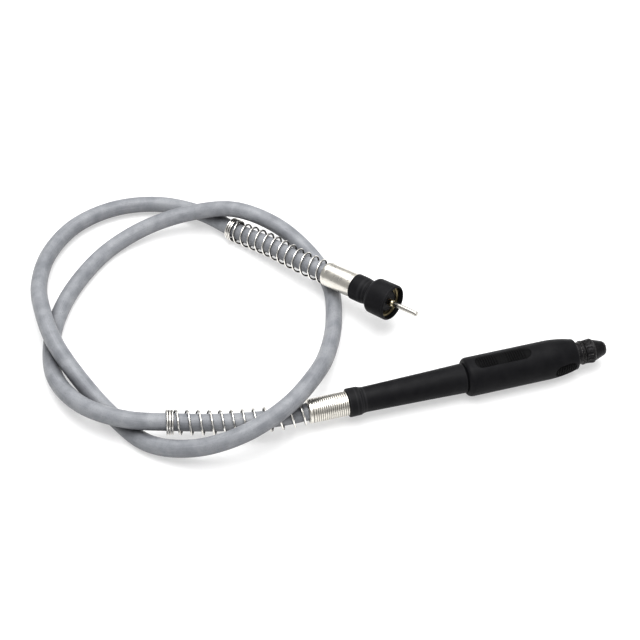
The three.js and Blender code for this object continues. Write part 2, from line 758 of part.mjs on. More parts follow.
function makeHandpiece() {
  const group = new THREE.Group();
  group.position.copy(handpieceStart);
  const rearBearing = rearBearingStart();
  const spacerStart = rearBearing + bearing.width + gap;
  const spacerEnd = frontBearingEnd() - bearing.width - gap;
  const wall = spindle.spacerWall;
  const inner = bearing.bore / 2;
  const outer = bearing.outside / 2;
  const circlip = turnedTube(
    rearBearing - gap - spindle.circlipThickness, rearBearing - gap, spindle.circlipDiameter / 2, inner, 18,
  );
  const { handpieceWall, handpieceEdge } = ferrule;
  const handpieceFerrule = ferruleGeometry(handpieceWall, ferrule.handpieceLength, handpieceEdge);
  group.add(
    part('handpiece_ferrule', handpieceFerrule, ...nickel),
    part('handpiece_nipple', nippleGeometry(), ...steel),
    part('handpiece_tube', makeTube(), ...blackPlastic),
    part('grip_housing', makeGrip(), ...blackPlastic),
    part('core_tip', makeTip(), ...steel),
    part('spindle', makeSpindle(), ...steel),
    part('spindle_circlip', circlip, ...springSteel),
    part('wave_washer', makeWaveWasher(), ...springSteel),
    part('inner_spacer', turnedTube(spacerStart, spacerEnd, inner + wall, inner, 16), ...steel),
    part('outer_spacer', turnedTube(spacerStart, spacerEnd, outer, outer - wall, 18), ...steel),
    ...makeBearing('rear_bearing', rearBearing),
    ...makeBearing('front_bearing', frontBearingEnd() - bearing.width),
    ...makeChuck(),
  );
  return group;
}

// ------------------------------------------------------------------------------------------------ assembly

const flexShaft = new THREE.Group();
flexShaft.add(...makeHose(), ...makeSprings(), makeCoupling(), makeHandpiece());

export default flexShaft;
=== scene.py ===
# The looks of a rotary tool's flexible shaft: a sheathed drive hose with bend springs, the coupling that
# screws onto the motor, and the handpiece with its keyless chuck. Shapes are in millimetres along each
# group's own axis, and are turned into the row frame in metres when the meshes are made.

import math

import bmesh
import bpy
import numpy as np
from mathutils import Matrix, Vector


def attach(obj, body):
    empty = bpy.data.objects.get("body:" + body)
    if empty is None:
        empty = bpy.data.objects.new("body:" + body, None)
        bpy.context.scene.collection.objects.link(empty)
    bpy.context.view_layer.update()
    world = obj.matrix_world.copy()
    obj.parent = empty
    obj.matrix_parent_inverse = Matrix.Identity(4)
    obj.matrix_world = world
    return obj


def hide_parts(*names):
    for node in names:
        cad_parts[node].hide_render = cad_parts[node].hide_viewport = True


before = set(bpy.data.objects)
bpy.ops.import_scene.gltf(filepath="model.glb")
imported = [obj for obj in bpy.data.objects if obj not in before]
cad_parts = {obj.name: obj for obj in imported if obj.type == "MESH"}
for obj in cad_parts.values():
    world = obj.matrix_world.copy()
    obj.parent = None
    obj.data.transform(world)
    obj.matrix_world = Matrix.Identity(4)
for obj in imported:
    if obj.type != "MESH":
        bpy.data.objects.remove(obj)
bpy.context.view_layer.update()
scene = bpy.context.scene


def new_object(name, data):
    """Makes an object of some data and puts it in the scene."""
    made = bpy.data.objects.new(name, data)
    scene.collection.objects.link(made)
    return made


def aim(item, place, target):
    """Puts a camera or a lamp at a place and points it at a target."""
    item.location = place
    item.rotation_euler = (Vector(target) - Vector(place)).to_track_quat("-Z", "Y").to_euler()


# ------------------------------------------------------------------------------------------------- camera

LENS = 78.75
SENSOR_WIDTH = 36
CAMERA_PLACE = (-0.21995, -0.48797, 0.63996)
CAMERA_TARGET = (-0.0635, 0.0772, 0.0)

camera = new_object("camera", bpy.data.cameras.new("camera"))
camera.data.lens = LENS
camera.data.sensor_width = SENSOR_WIDTH
camera.data.clip_start = 0.01
aim(camera, CAMERA_PLACE, CAMERA_TARGET)
scene.camera = camera

# --------------------------------------------------------------------------------------------- hose's route

# The hose's route between the ferrules, in metres, from the motor coupling to the handpiece.
ROUTE = [
    (-0.0535, 0.0981, 0.0182), (-0.064, 0.1125, 0.016), (-0.08, 0.1366, 0.0129), (-0.097, 0.1603, 0.0082),
    (-0.116, 0.184, 0.0075), (-0.141, 0.2, 0.007), (-0.17, 0.2035, 0.007), (-0.197, 0.194, 0.007),
    (-0.217, 0.1725, 0.0075), (-0.227, 0.145, 0.0095), (-0.228, 0.1155, 0.015), (-0.2245, 0.0865, 0.0165),
    (-0.2145, 0.059, 0.0115), (-0.201, 0.0325, 0.006), (-0.1845, 0.0065, 0.006), (-0.1605, -0.009, 0.0125),
    (-0.1335, -0.013, 0.0205), (-0.106, -0.004, 0.025), (-0.083, 0.017, 0.022), (-0.068, 0.042, 0.012),
    (-0.057, 0.069, 0.0065), (-0.051, 0.098, 0.0055), (-0.056, 0.126, 0.008), (-0.072, 0.1505, 0.0155),
    (-0.096, 0.168, 0.02), (-0.123, 0.177, 0.0155), (-0.152, 0.178, 0.0095), (-0.179, 0.168, 0.0055),
    (-0.201, 0.147, 0.0055), (-0.217, 0.123, 0.0055), (-0.227, 0.095, 0.0055), (-0.228, 0.065, 0.009),
    (-0.216, 0.037, 0.014), (-0.1945, 0.019, 0.016), (-0.1665, 0.0115, 0.013), (-0.1375, 0.0055, 0.0105),
    (-0.1083, 0.0, 0.01165), (-0.0923, 0.0, 0.01165),
]
HOSE_RADIUS = 5.1
HOSE_IN_FERRULE = 12.0

# -------------------------------------------------------------------------------------------- group frames

COUPLING_START = Vector(ROUTE[0]) * 1000
COUPLING_AXIS = (Vector(ROUTE[0]) - Vector(ROUTE[1])).normalized()
HANDPIECE_START = Vector(ROUTE[-1]) * 1000
HANDPIECE_AXIS = Vector((1, 0, 0))


def axis_frame(start, axis):
    """A frame whose X axis leaves the start along the axis."""
    heading = Matrix.Rotation(math.atan2(axis.y, axis.x), 4, "Z")
    climb = Matrix.Rotation(-math.asin(axis.z), 4, "Y")
    return Matrix.Translation(start) @ heading @ climb


COUPLING = axis_frame(COUPLING_START, COUPLING_AXIS)
HANDPIECE = axis_frame(HANDPIECE_START, HANDPIECE_AXIS)
PLAIN = Matrix.Identity(4)

# ------------------------------------------------------------------------------------------------ materials


class Surface:
    """A material's node tree around one Principled shader."""

    def __init__(self, name, kept_node=False, **sockets):
        self.kept_node = kept_node
        self.material = bpy.data.materials.new(name)
        self.material.use_nodes = True
        self.tree = self.material.node_tree
        self.shader = self.tree.nodes["Principled BSDF"]
        for socket, value in sockets.items():
            self.shader.inputs[socket.replace("_", " ")].default_value = value
        self.material.diffuse_color = self.shader.inputs["Base Color"].default_value

    def node(self, kind, inputs=None, **settings):
        made = self.tree.nodes.new(kind)
        for key, value in settings.items():
            setattr(made, key, value)
        for key, value in (inputs or {}).items():
            if isinstance(value, bpy.types.NodeSocket):
                self.tree.links.new(value, made.inputs[key])
            else:
                made.inputs[key].default_value = value
        return made

    def place(self):
        """Where the point is on its piece, or where a kept node's point is in the row, in millimetres."""
        if self.kept_node:
            row = self.node("ShaderNodeTexCoord").outputs["Object"]
            return self.stretched(row, (1000, 1000, 1000))
        return self.node("ShaderNodeAttribute", attribute_name="place").outputs["Vector"]

    def level(self, name):
        return self.node("ShaderNodeAttribute", attribute_name=name).outputs["Fac"]

    def stretched(self, vector, scale):
        return self.node("ShaderNodeMapping", {"Vector": vector, "Scale": scale}).outputs["Vector"]

    def noise(self, vector, scale, detail=3.0, roughness=0.55):
        inputs = {"Vector": vector, "Scale": scale, "Detail": detail, "Roughness": roughness}
        return self.node("ShaderNodeTexNoise", inputs).outputs["Fac"]

    def ramp(self, value, low, high, start=0.0, end=1.0):
        inputs = {"Value": value, "From Min": low, "From Max": high, "To Min": start, "To Max": end}
        return self.node("ShaderNodeMapRange", inputs, clamp=True).outputs["Result"]

    def sum(self, first, second, operation="ADD"):
        return self.node("ShaderNodeMath", {0: first, 1: second}, operation=operation).outputs["Value"]

    def blend(self, share, first, second):
        mix = self.node("ShaderNodeMix", data_type="RGBA")
        self.tree.links.new(share, mix.inputs["Factor"])
        for socket, value in ((mix.inputs[6], first), (mix.inputs[7], second)):
            if isinstance(value, bpy.types.NodeSocket):
                self.tree.links.new(value, socket)
            else:
                socket.default_value = (*value, 1)
        return mix.outputs[2]

    def colour(self, value):
        self.tree.links.new(value, self.shader.inputs["Base Color"])

    def roughness(self, value):
        self.tree.links.new(value, self.shader.inputs["Roughness"])

    def bump(self, height, strength, distance):
        """Adds a bump over the ones already there; distance is in millimetres."""
        inputs = {"Height": height, "Strength": strength, "Distance": distance / 1000}
        link = self.shader.inputs["Normal"].links
        if link:
            inputs["Normal"] = link[0].from_socket
        made = self.node("ShaderNodeBump", inputs)
        self.tree.links.new(made.outputs["Normal"], self.shader.inputs["Normal"])


def rubber_hose():
    """Grey rubber, mottled, with fine streaks along it and painted shade by the "edge" level."""
    s = Surface("grey_sheath", Base_Color=(0.25, 0.25, 0.27, 1), Roughness=0.42, Specular_IOR_Level=0.35)
    place = s.place()
    cloud = s.noise(place, 0.11, 4)
    speck = s.noise(place, 1.6, 3)
    streak = s.noise(s.stretched(place, (0.05, 1.5, 1.5)), 1.0, 4)
    tone = s.blend(s.ramp(cloud, 0.35, 0.65), (0.182, 0.19, 0.206), (0.262, 0.27, 0.286))
    tone = s.blend(s.ramp(speck, 0.56, 0.72, 0.0, 0.55), tone, (0.13, 0.132, 0.145))
    tone = s.blend(s.ramp(streak, 0.5, 0.75, 0.0, 0.35), tone, (0.33, 0.335, 0.355))
    # Painted shade: the "edge" level darkens the sheath on its underside and where its strands come close.
    tone = s.blend(s.ramp(s.level("edge"), 0.1, 1.0, 0.0, 0.8), tone, (0.05, 0.05, 0.056))
    s.colour(tone)
    s.roughness(s.ramp(speck, 0.3, 0.7, 0.36, 0.52))
    s.bump(streak, 0.25, 0.12)
    s.bump(s.noise(place, 3.2, 3), 0.3, 0.05)
    return s.material


def moulded_plastic():
    """Black plastic with a fine grain, a painted highlight on its rounded edges and painted shade in its
    recessed panels.
    """
    s = Surface("black_plastic", Base_Color=(0.011, 0.011, 0.012, 1), Roughness=0.5, Specular_IOR_Level=0.1)
    place = s.place()
    cloud = s.noise(place, 0.16, 4)
    grain = s.noise(place, 5.5, 3, 0.6)
    tone = s.blend(s.ramp(cloud, 0.3, 0.7), (0.0055, 0.0055, 0.0066), (0.0095, 0.0093, 0.0105))
    # Painted highlight on rounded edges.
    tone = s.blend(s.ramp(s.level("edge"), 0.15, 1.0, 0.0, 0.5), tone, (0.032, 0.032, 0.034))
    # Painted shade in the recessed panels.
    tone = s.blend(s.ramp(s.level("panel"), 0.0, 1.0, 0.0, 0.9), tone, (0.0018, 0.0018, 0.002))
    s.colour(tone)
    worn = s.ramp(s.noise(s.stretched(place, (0.12, 0.6, 0.6)), 1.0, 4), 0.3, 0.7, 0.44, 0.56)
    s.roughness(s.sum(worn, s.ramp(s.level("panel"), 0.0, 1.0, 0.0, 0.16)))
    s.bump(grain, 0.35, 0.05)
    return s.material


def turned_metal(name, colour, rough, pitch, depth, tarnish, specks, kept_node=False):
    """A metal with fine turning rings round its piece's axis, tarnish in clouds, specks of dirt and painted
    shade where its "panel" level is set.
    """
    s = Surface(name, kept_node, Base_Color=(*colour, 1), Metallic=1.0, Roughness=rough)
    place = s.place()
    along = s.node("ShaderNodeSeparateXYZ", {"Vector": place}).outputs["X"]
    rings = s.noise(s.node("ShaderNodeCombineXYZ", {"X": along}).outputs["Vector"], 1 / pitch, 2)
    cloud = s.noise(place, 0.22, 4)
    dust = s.noise(place, 2.4, 3)
    dust_and_shade = [channel * 0.35 for channel in colour]
    tone = s.blend(s.ramp(cloud, 0.42, 0.75, 0.0, 0.7), colour, tarnish)
    tone = s.blend(s.ramp(dust, 0.6, 0.8, 0.0, specks), tone, dust_and_shade)
    # Painted shade where the "panel" level marks grooves.
    s.colour(s.blend(s.level("panel"), tone, dust_and_shade))
    polish = s.ramp(cloud, 0.3, 0.7, rough * 0.75, rough * 1.3)
    s.roughness(s.sum(polish, s.ramp(dust, 0.5, 0.8, 0.0, 0.1)))
    s.bump(rings, 0.5, depth)
    return s.material


def wire_steel():
    """Wire with a painted highlight on its outward side and painted shade on its sides, by the "edge" level
    of its outward side.
    """
    s = Surface("spring_steel", Base_Color=(0.74, 0.72, 0.67, 1), Metallic=1.0, Roughness=0.2)
    place = s.place()
    cloud = s.noise(place, 0.35, 4)
    bright = s.blend(s.ramp(cloud, 0.4, 0.75), (0.95, 0.93, 0.89), (0.8, 0.77, 0.72))
    # Painted highlight on the wire's outward crown and painted shade on its sides.
    s.colour(s.blend(s.ramp(s.level("edge"), 0.4, 0.72), (0.05, 0.048, 0.045), bright))
    s.roughness(s.ramp(s.noise(place, 1.3, 3), 0.3, 0.7, 0.14, 0.3))
    s.bump(s.noise(place, 6.0, 2), 0.2, 0.03)
    return s.material


def blackened_steel():
    """Steel with a black finish that is worn through on its edges."""
    s = Surface("black_oxide", Base_Color=(0.016, 0.016, 0.018, 1), Metallic=0.5, Roughness=0.42,
                Specular_IOR_Level=0.2)
    place = s.place()
    cloud = s.noise(place, 0.4, 4)
    wear = s.sum(s.level("edge"), s.ramp(s.noise(place, 1.4, 4), 0.42, 0.62), "MULTIPLY")
    tone = s.blend(s.ramp(cloud, 0.3, 0.7), (0.008, 0.008, 0.009), (0.018, 0.017, 0.018))
    s.colour(s.blend(s.ramp(wear, 0.2, 0.9, 0.0, 0.45), tone, (0.2, 0.19, 0.18)))
    s.roughness(s.ramp(s.noise(place, 2.2, 3), 0.3, 0.7, 0.3, 0.5))
    s.bump(s.noise(place, 4.0, 3), 0.3, 0.04)
    return s.material


# Each turned metal's colour, roughness, ring pitch and depth in millimetres, tarnish and share of specks.
METALS = {
    "nickel": ((0.76, 0.735, 0.68), 0.3, 0.5, 0.003, (0.68, 0.65, 0.585), 0.06),
    "machined_steel": ((0.62, 0.62, 0.63), 0.28, 0.3, 0.04, (0.46, 0.44, 0.42), 0.25),
    "bearing_steel": ((0.66, 0.665, 0.68), 0.16, 0.2, 0.015, (0.55, 0.55, 0.56), 0.25),
    "jaw_steel": ((0.36, 0.36, 0.37), 0.3, 0.2, 0.03, (0.22, 0.21, 0.21), 0.25),
    # The brass colour and tarnish are darkened as painted shade, for the thread deep in the cap's mouth.
    "brass": ((0.22, 0.185, 0.11), 0.32, 0.3, 0.03, (0.10, 0.08, 0.05), 0.25),
    "bronze": ((0.36, 0.24, 0.14), 0.42, 0.4, 0.05, (0.2, 0.14, 0.09), 0.25),
    "brass_ball": ((0.62, 0.56, 0.40), 0.25, 0.5, 0.004, (0.5, 0.44, 0.3), 0.1),
    "polished_pin": ((0.66, 0.64, 0.6), 0.2, 0.5, 0.005, (0.56, 0.53, 0.48), 0.1),
}
LOOKS = {
    "grey_sheath": rubber_hose(),
    "black_plastic": moulded_plastic(),
    "spring_steel": wire_steel(),
    "black_oxide": blackened_steel(),
    **{name: turned_metal(name, *values) for name, values in METALS.items()},
}

# --------------------------------------------------------------------------------------------- mesh helpers

MILLIMETRE = 0.001
CREASE = 32
ON_AXIS = 0.001


def smoothstep(value):
    value = np.clip(value, 0, 1)
    return value * value * (3 - 2 * value)


def full_turn(count):
    """Evenly spaced angles of one turn."""
    return np.arange(count) / count * 2 * math.pi


def round_points(along, radius, angle):
    """Points at distances along a group's X axis, and at radii and angles round it."""
    parts = np.broadcast_arrays(along, radius * np.sin(angle), radius * np.cos(angle))
    return np.stack(parts, -1).reshape(-1, 3)


def ring_faces(rows, columns, closed=True):
    """Faces between rings of points, the last joined to the first or a flat face on each end ring."""
    faces = []
    for i in range(rows if closed else rows - 1):
        a = i * columns
        b = (i + 1) % rows * columns
        faces += [(a + j, a + (j + 1) % columns, b + (j + 1) % columns, b + j) for j in range(columns)]
    if not closed:
        last = (rows - 1) * columns
        faces += [tuple(range(columns)), tuple(range(last, last + columns))]
    return faces


def solid_mesh(name, points, faces, group):
    """A mesh with its faces outward, from points in millimetres in a group's frame."""
    turn = np.array(group.to_3x3())
    row_points = (points @ turn.T + np.array(group.translation)) * MILLIMETRE
    mesh = bpy.data.meshes.new(name)
    mesh.from_pydata(row_points.tolist(), [], faces)
    shape = bmesh.new()
    shape.from_mesh(mesh)
    bmesh.ops.recalc_face_normals(shape, faces=shape.faces)
    shape.to_mesh(mesh)
    shape.free()
    return mesh


def set_level(mesh, label, values):
    """Stores a vector or a number at each point of a mesh, for its material."""
    values = np.asarray(values, np.float32)
    kind, field = ("FLOAT_VECTOR", "vector") if values.ndim == 2 else ("FLOAT", "value")
    mesh.attributes.new(label, kind, "POINT").data.foreach_set(field, values.ravel())


def shade(mesh, crease=CREASE):
    """Smooths a mesh apart from edges sharper than the crease, in degrees."""
    mesh.shade_smooth()
    mesh.set_sharp_from_angle(angle=math.radians(crease))


def add_piece(name, points, faces, group, body, look, node, levels=None, crease=CREASE):
    """Makes a piece from points in millimetres in its group's frame, and sets it on its body."""
    mesh = solid_mesh(name, points, faces, group)
    for label, values in {"place": points, **(levels or {})}.items():
        set_level(mesh, label, values)
    shade(mesh, crease)
    mesh.materials.append(LOOKS[look])
    made = new_object(name, mesh)
    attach(made, body)
    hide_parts(node)
    return made


def rounded(outline, closed=True, steps=4):
    """Rounds each corner of [along, radius, rounding] points; returns along, radius and edge level."""
    made = []
    count = len(outline)
    for i, corner in enumerate(outline):
        here = np.array(corner[:2], float)
        size = corner[2] if len(corner) > 2 else 0.0
        if size == 0 or (not closed and i in (0, count - 1)):
            made.append((*here, 0.0))
            continue
        before = np.array(outline[i - 1][:2], float) - here
        after = np.array(outline[(i + 1) % count][:2], float) - here
        reach = min(size, 0.45 * np.linalg.norm(before), 0.45 * np.linalg.norm(after))
        first = here + before / np.linalg.norm(before) * reach
        last = here + after / np.linalg.norm(after) * reach
        for t in np.linspace(0, 1, steps + 1):
            point = (1 - t) ** 2 * first + 2 * t * (1 - t) * here + t * t * last
            made.append((*point, 0.3 + 0.7 * 4 * t * (1 - t)))
    return np.array(made)


def lathe(rows, segments, closed):
    """Points and faces of rows that start with along and radius, turned about the X axis."""
    along = np.repeat(rows[:, 0], segments)
    radius = np.repeat(rows[:, 1], segments)
    points = round_points(along, radius, np.tile(full_turn(segments), len(rows)))
    return points, ring_faces(len(rows), segments, closed)


def turned(name, outline, group, body, look, node, segments=112, steps=4, closed=True):
    """A piece turned about its group's X axis from a closed outline, or one that ends on the axis."""
    rows = rounded(outline, closed, steps)
    points, faces = lathe(rows, segments, closed)
    edge = {"edge": np.repeat(rows[:, 2], segments)}
    return add_piece(name, points, faces, group, body, look, node, edge)


# ----------------------------------------------------------------------------------------------------- hose

HOSE_RINGS = 760
HOSE_SIDES = 36
SAME_STRAND = 40.0
FAR_AWAY = 99.0
STRAND_REACH = 7.0


def smooth_route(points, steps=30):
    """A centripetal Catmull-Rom curve through the points."""
    p = np.array(points, float)
    p = np.vstack([2 * p[0] - p[1], p, 2 * p[-1] - p[-2]])
    made = []
    for i in range(1, len(p) - 2):
        p0, p1, p2, p3 = p[i - 1:i + 3]
        d0, d1, d2 = (math.sqrt(np.linalg.norm(b - a)) for a, b in ((p0, p1), (p1, p2), (p2, p3)))
        t1 = ((p1 - p0) / d0 - (p2 - p0) / (d0 + d1) + (p2 - p1) / d1) * d1
        t2 = ((p2 - p1) / d1 - (p3 - p1) / (d1 + d2) + (p3 - p2) / d2) * d1
        for t in np.arange(steps) / steps:
            made.append(p1 + t1 * t + (3 * (p2 - p1) - 2 * t1 - t2) * t**2 + (2 * (p1 - p2) + t1 + t2) * t**3)
    made.append(p[-2])
    return np.array(made)


class Line:
    """A polyline in millimetres that gives its points and directions by distance."""

    def __init__(self, points):
        self.points = points
        self.at = np.concatenate([[0], np.cumsum(np.linalg.norm(np.diff(points, axis=0), axis=1))])
        self.length = self.at[-1]

    def point(self, distance):
        return np.array([np.interp(distance, self.at, self.points[:, k]) for k in range(3)]).T

    def direction(self, distance):
        step = self.point(np.asarray(distance) + 0.4) - self.point(np.asarray(distance) - 0.4)
        return step / np.linalg.norm(step, axis=-1, keepdims=True)


def frames_along(points):
    """Sideways directions along a path that turn as little as they can."""
    tangents = np.gradient(points, axis=0)
    tangents /= np.linalg.norm(tangents, axis=1, keepdims=True)
    side = np.cross(tangents[0], (0, 0, 1.0))
    sides = []
    for tangent in tangents:
        side = side - tangent * np.dot(side, tangent)
        side /= np.linalg.norm(side)
        sides.append(side)
    sides = np.array(sides)
    return sides, np.cross(tangents, sides)


def tube_mesh(points, radius, sides_count):
    """Points and faces of a round tube with flat ends along a path."""
    sides, ups = frames_along(points)
    angle = full_turn(sides_count)[None, :, None]
    ring = np.cos(angle) * sides[:, None] + np.sin(angle) * ups[:, None]
    made = (points[:, None] + ring * radius).reshape(-1, 3)
    return made, ring_faces(len(points), sides_count, closed=False)


between = Line(smooth_route(np.array(ROUTE) * 1000))
held_at_motor = np.array(COUPLING_START + COUPLING_AXIS * HOSE_IN_FERRULE)
held_at_handpiece = np.array(HANDPIECE_START + HANDPIECE_AXIS * HOSE_IN_FERRULE)
centre_line = Line(np.vstack([held_at_motor, between.points, held_at_handpiece]))
ring_along = np.linspace(0, centre_line.length, HOSE_RINGS)
hose_points = centre_line.point(ring_along)[::-1]


def closeness(points, along, stride=4):
    """How close each of the hose's points comes to another of its strands, from 0 to 1."""
    nearest = np.full(len(points), FAR_AWAY)
    for centre, centre_along in zip(hose_points[::stride], ring_along[::stride]):
        away = np.linalg.norm(points - centre, axis=1)
        away[np.abs(along - centre_along) < SAME_STRAND] = FAR_AWAY
        nearest = np.minimum(nearest, away)
    return np.clip(1 - (nearest - HOSE_RADIUS) / STRAND_REACH, 0, 1)


def make_hose():
    """The sheath, with painted shade on its underside and where its strands come close."""
    points, faces = tube_mesh(hose_points, HOSE_RADIUS, HOSE_SIDES)
    along = np.repeat(ring_along, HOSE_SIDES)
    around = np.tile(full_turn(HOSE_SIDES), HOSE_RINGS)
    below = (np.repeat(hose_points[:, 2], HOSE_SIDES) - points[:, 2]) / HOSE_RADIUS
    # Painted shade that darkens the sheath's underside.
    underside_shade = 0.8 * np.clip((below + 0.2) / 0.8, 0, 1)
    levels = {
        "place": np.stack([along, HOSE_RADIUS * np.cos(around), HOSE_RADIUS * np.sin(around)], 1),
        # Painted shade where other strands come close, and on the underside.
        "edge": np.maximum(closeness(points, along), underside_shade),
    }
    return add_piece("drive_hose", points, faces, PLAIN, "root", "grey_sheath", "hose_sheath", levels)


hose = make_hose()

# -------------------------------------------------------------------------------------------------- springs

WIRE_RADIUS = 0.6
WIRE_SIDES = 12
COIL_RADIUS = 7.0
PITCH = 6.4
CLOSE_PITCH = 1.5
CLOSE_TURNS = 3
STAND_OFF = WIRE_RADIUS + 0.3
MOTOR_SPRING_LENGTH = 79.6
HANDPIECE_SPRING_LENGTH = 80.4


def spring_wire(length, locate, steps=40):
    """The middle line of a right-handed spring that starts with its close turns, and its outward side."""
    close = CLOSE_TURNS * CLOSE_PITCH
    turns = CLOSE_TURNS + (length - close) / PITCH
    turn = np.arange(int(turns * steps) + 1) / steps
    along = np.where(turn < CLOSE_TURNS, turn * CLOSE_PITCH, close + (turn - CLOSE_TURNS) * PITCH)
    centre, forward = locate(np.minimum(along, length))
    side = np.cross((0, 0, 1.0), forward)
    side /= np.linalg.norm(side, axis=1, keepdims=True)
    over = np.cross(forward, side)
    angle = (turn * 2 * math.pi)[:, None]
    outward = side * np.cos(angle) + over * np.sin(angle)
    return centre + outward * COIL_RADIUS, outward


def from_motor(along):
    """Points and directions of the hose under the motor's spring, from the spring's free end."""
    distance = STAND_OFF + MOTOR_SPRING_LENGTH - along
    return between.point(distance), -between.direction(distance)


def from_handpiece(along):
    """Points and directions of the hose under the handpiece's spring, from the spring's free end."""
    distance = between.length - STAND_OFF - HANDPIECE_SPRING_LENGTH + along
    return between.point(distance), between.direction(distance)


def make_spring(name, node, length, locate):
    wire, outward = spring_wire(length, locate)
    points, faces = tube_mesh(wire, WIRE_RADIUS, WIRE_SIDES)
    facing = (points.reshape(len(wire), WIRE_SIDES, 3) - wire[:, None]) / WIRE_RADIUS
    # How much each point faces outward, for the wire's painted highlight and painted shade.
    crown = {"edge": np.clip((facing * outward[:, None]).sum(2), 0, 1).ravel()}
    return add_piece(name, points, faces, PLAIN, "root", "spring_steel", node, crown)


springs = [
    make_spring("motor_bend_spring", "motor_spring", MOTOR_SPRING_LENGTH, from_motor),
    make_spring("handpiece_bend_spring", "handpiece_spring", HANDPIECE_SPRING_LENGTH, from_handpiece),
]

# ----------------------------------------------------------------------------------- ferrules' shared inside

HOSE_BORE = 5.4
HOSE_STOP = 20.6
PASSAGE = 2.9
SPIGOT = 5.6
SPIGOT_LENGTH = 8.0
SOCKET = 5.9
SEAT_GAP = 0.3


def ferrule_inside(length):
    """Outline points of a ferrule's spigot, the core's passage and the step that stops the hose."""
    return [(length, SPIGOT), (length + SPIGOT_LENGTH, SPIGOT), (length + SPIGOT_LENGTH, PASSAGE),
            (HOSE_STOP, PASSAGE), (HOSE_STOP, HOSE_BORE)]


# ------------------------------------------------------------------------------------------- motor coupling

FERRULE_LENGTH = 22.5
FERRULE_RADIUS = 7.6
NECK_START = FERRULE_LENGTH + SEAT_GAP
NECK_RADIUS = 8.2
NECK_WAIST = 7.75
NECK_SHOULDER = 34.6
NECK_FACE = 48.4
NOSE_RADIUS = 6.6
PIN_HOLE = 2.0
BUSH_SOCKET = 3.9
CAP_START = 34.9
CAP_RIM = 51.4
CAP_RADIUS = 11.2
CAP_BORE = 10.0
CAP_STEP = 9.0
CAP_NECK_HOLE = 6.9


def groove(at, width, depth):
    """Outline points of a small ring groove in the motor ferrule."""
    return [(at - width / 2, FERRULE_RADIUS, 0.05), (at - width / 4, FERRULE_RADIUS - depth),
            (at + width / 4, FERRULE_RADIUS - depth), (at + width / 2, FERRULE_RADIUS, 0.05)]


motor_ferrule = turned("hose_end_ferrule", [
    (0, HOSE_BORE), (0, 6.5, 0.1), (0.18, 6.95), (0.6, 7.36), (1.15, 7.54), (1.9, FERRULE_RADIUS),
    *groove(3.1, 0.3, 0.08), *groove(19.9, 0.3, 0.12), *groove(21.2, 0.3, 0.12),
    (FERRULE_LENGTH, FERRULE_RADIUS, 0.25), *ferrule_inside(FERRULE_LENGTH),
], COUPLING, "root", "nickel", "motor_ferrule")

neck = turned("coupling_neck", [
    (NECK_START, SOCKET), (NECK_START, NECK_RADIUS, 0.4), (30.0, NECK_RADIUS, 2.5),
    (32.8, NECK_WAIST, 1.5), (34.3, NECK_WAIST, 0.4), (NECK_SHOULDER, 7.5, 0.2),
    (NECK_SHOULDER, NOSE_RADIUS), (47.6, NOSE_RADIUS, 0.3), (NECK_FACE, 6.0, 0.3),
    (NECK_FACE, PIN_HOLE, 0.1), (48.2, PIN_HOLE), (48.2, BUSH_SOCKET),
    (35.8, BUSH_SOCKET), (35.8, PASSAGE), (30.8, PASSAGE), (30.8, SOCKET),
], COUPLING, "root", "black_plastic", "connector_body")

cap = turned("coupling_nut", [
    (CAP_START, CAP_NECK_HOLE), (CAP_START, 8.4, 0.35), (35.9, 8.75, 0.5), (37.0, 10.3, 0.7),
    (38.2, 11.0, 0.5), (49.4, CAP_RADIUS, 0.1), (49.55, 11.05), (49.8, 11.05), (49.95, CAP_RADIUS, 0.15),
    (50.5, 11.15, 0.2), (CAP_RIM, 10.45, 0.15), (CAP_RIM, CAP_BORE, 0.12), (40.5, CAP_BORE), (40.5, CAP_STEP),
    (37.9, CAP_STEP), (37.9, CAP_NECK_HOLE),
], COUPLING, "coupling_cap", "black_plastic", "coupling_cap", segments=128)

THREAD_START = 40.8
THREAD_END = 48.8
THREAD_PITCH = 2.0
THREAD_BORE = 9.2
THREAD_HEIGHT = 0.8
INSERT_RADIUS = 9.7


def make_thread(segments=120, rows_along=130):
    """The brass insert with a helical thread inside it."""
    along = np.linspace(THREAD_START, THREAD_END, rows_along)
    angle = full_turn(segments)
    x, around = np.meshgrid(along, angle, indexing="ij")
    phase = (x - THREAD_START) / THREAD_PITCH - around / (2 * math.pi)
    wave = np.abs((phase % 1) * 2 - 1)
    height = THREAD_HEIGHT * smoothstep((wave - 0.12) / 0.76)
    height *= smoothstep((THREAD_END - x) / 0.7) * smoothstep((x - THREAD_START) / 0.5)
    outside = ((THREAD_END, INSERT_RADIUS - 0.08), (THREAD_END - 0.1, INSERT_RADIUS),
               (THREAD_START + 0.1, INSERT_RADIUS), (THREAD_START, INSERT_RADIUS - 0.08))
    rows = [round_points(x, THREAD_BORE - height, around)]
    rows += [round_points(at, radius, angle) for at, radius in outside]
    faces = ring_faces(len(along) + len(outside), segments)
    return add_piece("nut_thread", np.vstack(rows), faces, COUPLING, "coupling_cap", "brass",
                     "thread_insert", crease=50)


thread = make_thread()

BUSH_BORE = 1.9
BUSH_RADIUS = 3.6
PIN_RADIUS = 1.6
PIN_END = 69.4
HUB_RADIUS = 2.6
BALL_PLACE = 50.4
BALL_RADIUS = 2.3
BALL_MEETS_PIN = 0.77
BALL_HALF_LENGTH = 1.7

bush = turned("pin_bearing", [
    (36.1, BUSH_BORE), (36.1, BUSH_RADIUS, 0.2), (47.7, BUSH_RADIUS, 0.1), (48.0, 3.3, 0.1),
    (48.0, 2.2, 0.2), (47.7, BUSH_BORE, 0.1),
], COUPLING, "root", "bronze", "pin_bush", segments=64)


